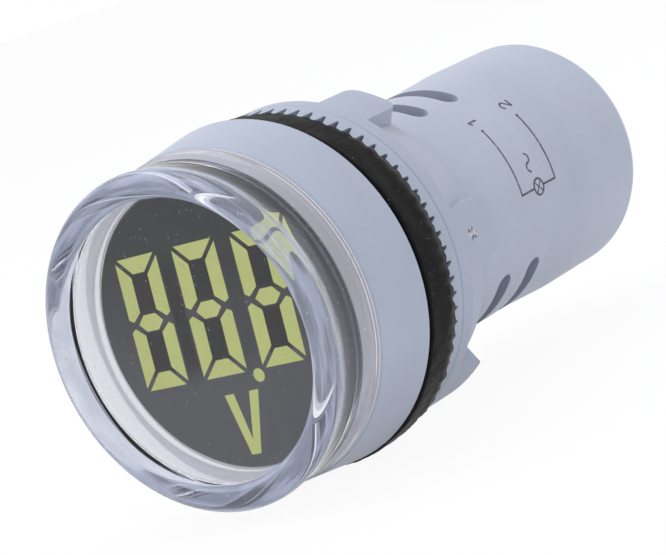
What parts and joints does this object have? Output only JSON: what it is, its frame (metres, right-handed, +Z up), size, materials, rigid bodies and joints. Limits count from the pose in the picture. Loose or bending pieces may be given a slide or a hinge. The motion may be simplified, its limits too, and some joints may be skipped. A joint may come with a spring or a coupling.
{
  "type": "digital panel meter",
  "caption": "Round panel voltmeter: clear lens over a slanted digit display, threaded barrel with gasket and toothed lock nut, slotted rear housing with screw terminals.",
  "frame": {"origin": "on the meter's axis, in the plane at the head's rear edge, where the head seats on its gasket against the panel", "axes": "-Y is the way the display looks, +Y runs back through the panel along the axis, +Z is up, +X is to the right of the digits as read"},
  "size_m": [0.0294, 0.0537, 0.0294],
  "materials": {
    "housing_plastic": "satin moulded plastic",
    "nut_plastic": "satin moulded plastic",
    "clear_lens": "clear moulded plastic",
    "gasket_rubber": "soft matt rubber",
    "display_face": "dark grey printed face",
    "segment": "milky yellow-green resin",
    "circuit_board": "solder mask",
    "tinned_lead": "tinned",
    "gold_pin": "gold flash",
    "chip_body": "moulded epoxy",
    "capacitor_sleeve": "shrunk sleeve",
    "film_capacitor": "moulded case",
    "resistor_body": "lacquered",
    "terminal_brass": "plain",
    "plated_steel": "zinc plated"
  },
  "bodies": {
    "root": {"front_housing": "housing_plastic", "lens_cover": "clear_lens", "gasket": "gasket_rubber", "rear_housing": "housing_plastic", "display_case": "display_face", "digit_left": "segment", "digit_middle": "segment", "digit_right": "segment", "decimal_point": "segment", "unit_mark": "segment", "display_pins": "tinned_lead", "display_board": "circuit_board", "control_chip": "chip_body", "chip_leads": "tinned_lead", "board_header": "chip_body", "header_pins": "gold_pin", "main_board": "circuit_board", "bridge_rectifier": "chip_body", "electrolytic_capacitor": "capacitor_sleeve", "capacitor_leads": "tinned_lead", "film_capacitor": "film_capacitor", "dropper_resistors": "resistor_body", "resistor_leads": "tinned_lead", "terminal_1": "terminal_brass", "terminal_2": "terminal_brass"},
    "lock_nut": {"lock_nut": "nut_plastic"},
    "clamp_1": {"clamp_1": "plated_steel"},
    "clamp_2": {"clamp_2": "plated_steel"},
    "screw_1": {"screw_1": "plated_steel"},
    "screw_2": {"screw_2": "plated_steel"}
  },
  "joints": [
    {"name": "nut_travel", "type": "slide", "parent": "root", "child": "lock_nut", "axis": [0, 1, 0], "range_m": [0, 0.008]},
    {"name": "clamp_1_lift", "type": "slide", "parent": "root", "child": "clamp_1", "axis": [0, 1, 0], "range_m": [0, 0.002]},
    {"name": "screw_1_turn", "type": "hinge", "parent": "clamp_1", "child": "screw_1", "pos_m": [0.00458, 0.0347, 0.00081], "axis": [0, 1, 0], "range_deg": [0, 1440]},
    {"name": "clamp_2_lift", "type": "slide", "parent": "root", "child": "clamp_2", "axis": [0, 1, 0], "range_m": [0, 0.002]},
    {"name": "screw_2_turn", "type": "hinge", "parent": "clamp_2", "child": "screw_2", "pos_m": [-0.00458, 0.0347, -0.00081], "axis": [0, 1, 0], "range_deg": [0, 1440]}
  ],
  "couplings": [
    {"joint": "screw_1_turn", "follows": "clamp_1_lift", "rad_per_m": 12566},
    {"joint": "screw_2_turn", "follows": "clamp_2_lift", "rad_per_m": 12566}
  ]
}
